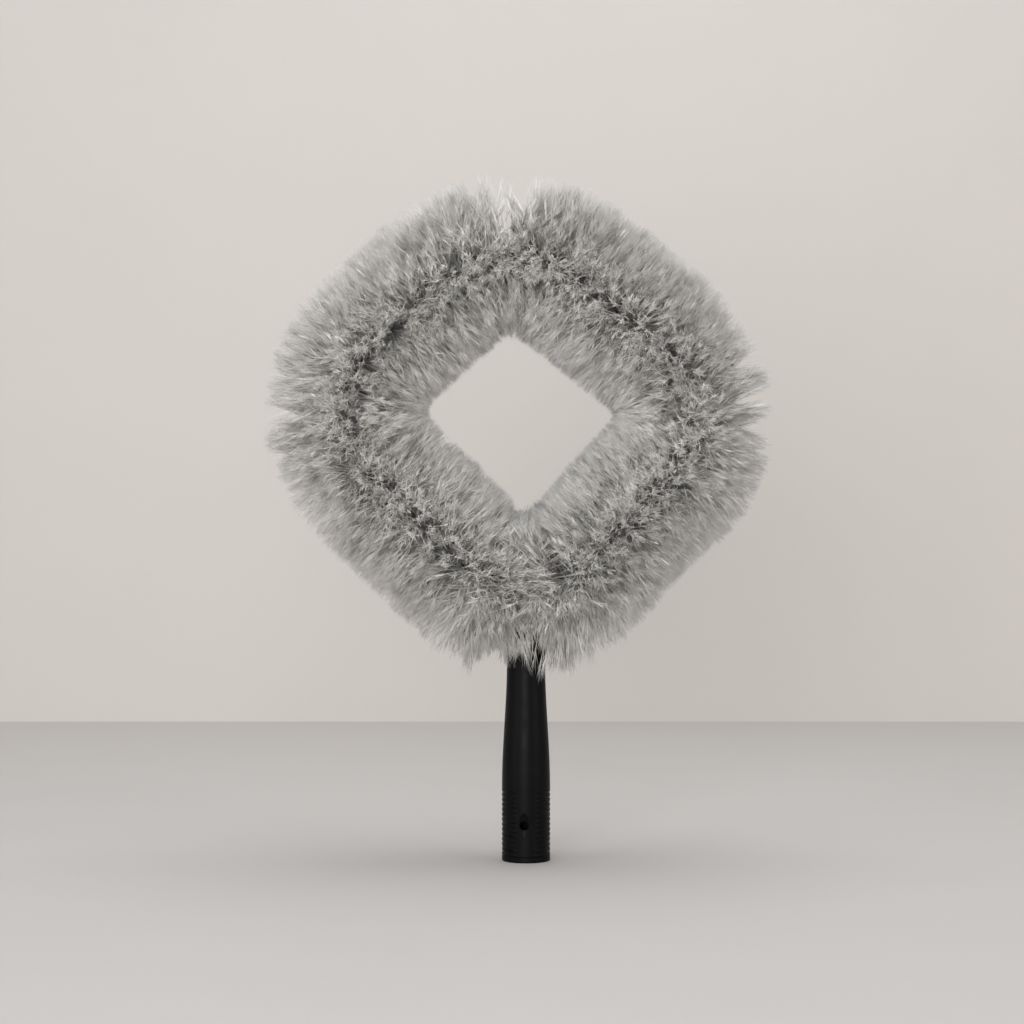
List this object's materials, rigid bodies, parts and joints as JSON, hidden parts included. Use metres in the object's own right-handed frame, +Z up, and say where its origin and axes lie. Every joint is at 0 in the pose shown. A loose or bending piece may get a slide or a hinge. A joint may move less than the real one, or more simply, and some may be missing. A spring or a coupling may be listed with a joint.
{
  "type": "cobweb brush",
  "caption": "Diamond-loop cobweb brush: grey bristles gripped by two twisted core wires, the wire tails clamped in the neck of a black tapered socket for a pole.",
  "frame": {"origin": "centre of the pole socket's open end", "axes": "+Z up the socket towards the loop, -Y the front with the lock hole, +X to the right seen from the front; the loop lies in the XZ plane"},
  "size_m": [0.3412, 0.1138, 0.4526],
  "materials": {
    "socket_plastic": "satin moulded polypropylene",
    "plug_plastic": "moulded, matt",
    "pin_steel": "black oxide, dull",
    "ferrule_steel": "zinc plated, satin",
    "wire_steel": "galvanised, satin",
    "bristles": "grey split-tip filaments"
  },
  "bodies": {
    "root": {"handle_socket": "socket_plastic", "wire_plug_front": "plug_plastic", "wire_plug_rear": "plug_plastic", "plug_cross_pin": "pin_steel", "tail_ferrule": "ferrule_steel", "core_wire_a": "wire_steel", "core_wire_b": "wire_steel", "bristles_root_left": "bristles", "bristles_lower_left": "bristles", "bristles_left_bend": "bristles", "bristles_upper_left": "bristles", "bristles_top_bend": "bristles", "bristles_upper_right": "bristles", "bristles_right_bend": "bristles", "bristles_lower_right": "bristles", "bristles_root_right": "bristles"}
  },
  "joints": []
}
